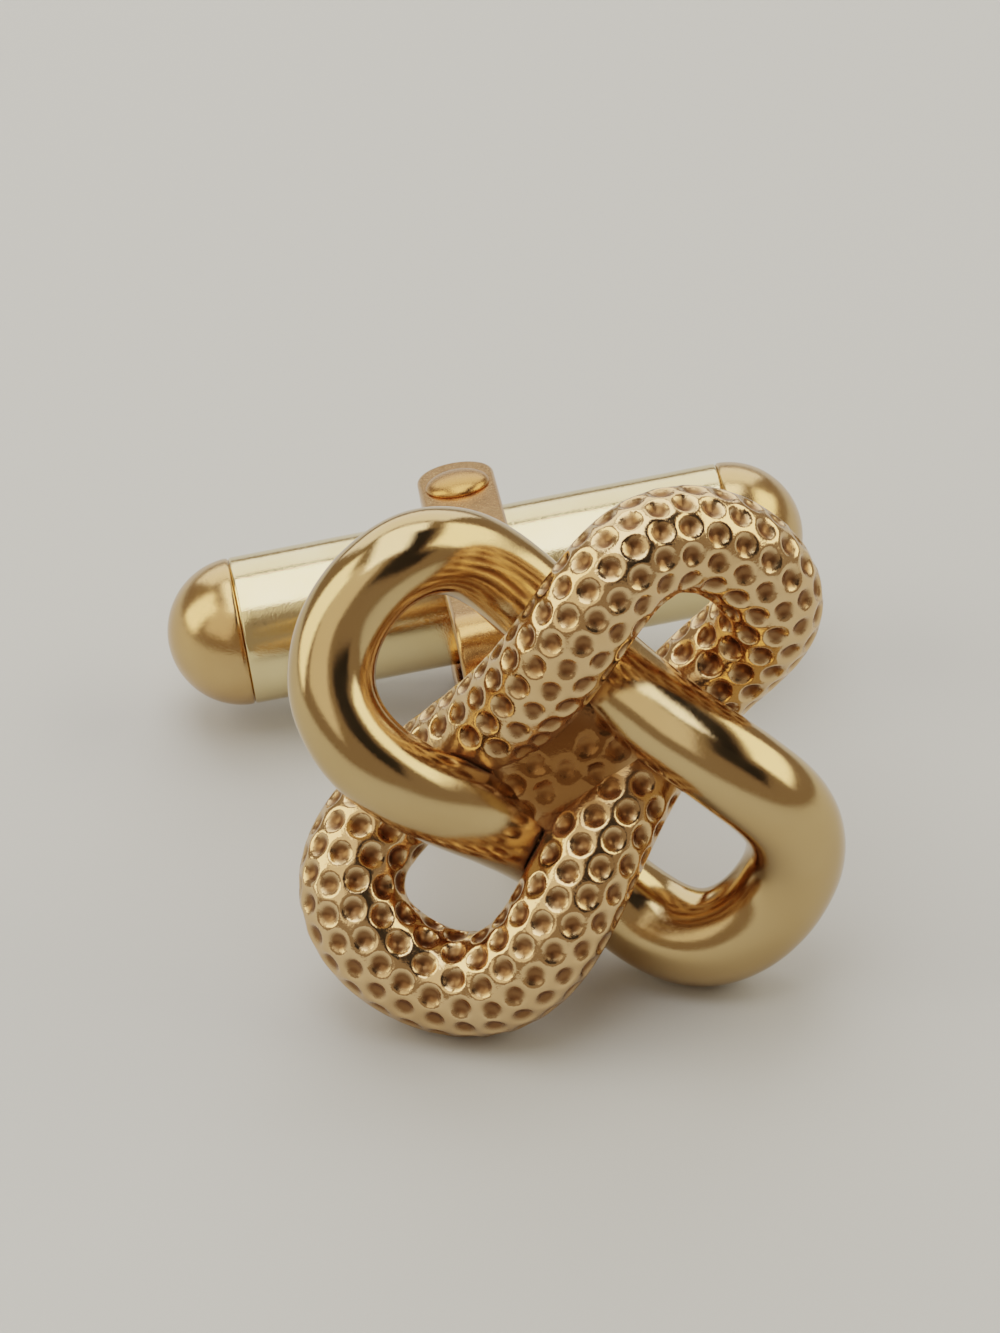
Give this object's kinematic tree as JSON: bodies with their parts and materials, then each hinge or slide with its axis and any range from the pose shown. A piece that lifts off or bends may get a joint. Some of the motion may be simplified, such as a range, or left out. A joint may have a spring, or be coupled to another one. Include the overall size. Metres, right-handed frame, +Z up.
{
  "type": "cufflink",
  "caption": "Knot cufflink of two interlinked loops, one smooth and one dimpled, on a U-shaped post whose bar swivels crosswise behind the buttonhole.",
  "frame": {"origin": "point of the supporting surface below the middle of the whole cufflink's box", "axes": "+Z up from the surface it lies on, the knot's face looks towards -Y and leans back, +Y runs along the post to the toggle, +X to the right seen from the face"},
  "size_m": [0.0198, 0.0224, 0.0163],
  "materials": {
    "polished_gold": "cast, gilded and polished, warm antique gold",
    "dimpled_gold": "cast with small round dimples, gilded, bright lands and darker pits",
    "strip_gold": "gilded strip, bent and tumbled to a satin polish",
    "pin_gold": "gilded rivet, domed at both ends",
    "bar_gold": "gilded tube, polished, pale yellow gold",
    "cap_gold": "gilded domed cap, satin"
  },
  "bodies": {
    "link": {"polished_loop": "polished_gold", "dimpled_loop": "dimpled_gold", "post_frame": "strip_gold", "pivot_pin": "pin_gold"},
    "toggle": {"toggle_barrel": "bar_gold", "toggle_cap_left": "cap_gold", "toggle_cap_right": "cap_gold"}
  },
  "joints": [
    {"name": "toggle_swivel", "type": "hinge", "parent": "link", "child": "toggle", "pos_m": [-0.0003, 0.00817, 0.00382], "axis": [-0.1184, 0.262, 0.9578], "range_deg": [-90, 90]}
  ]
}
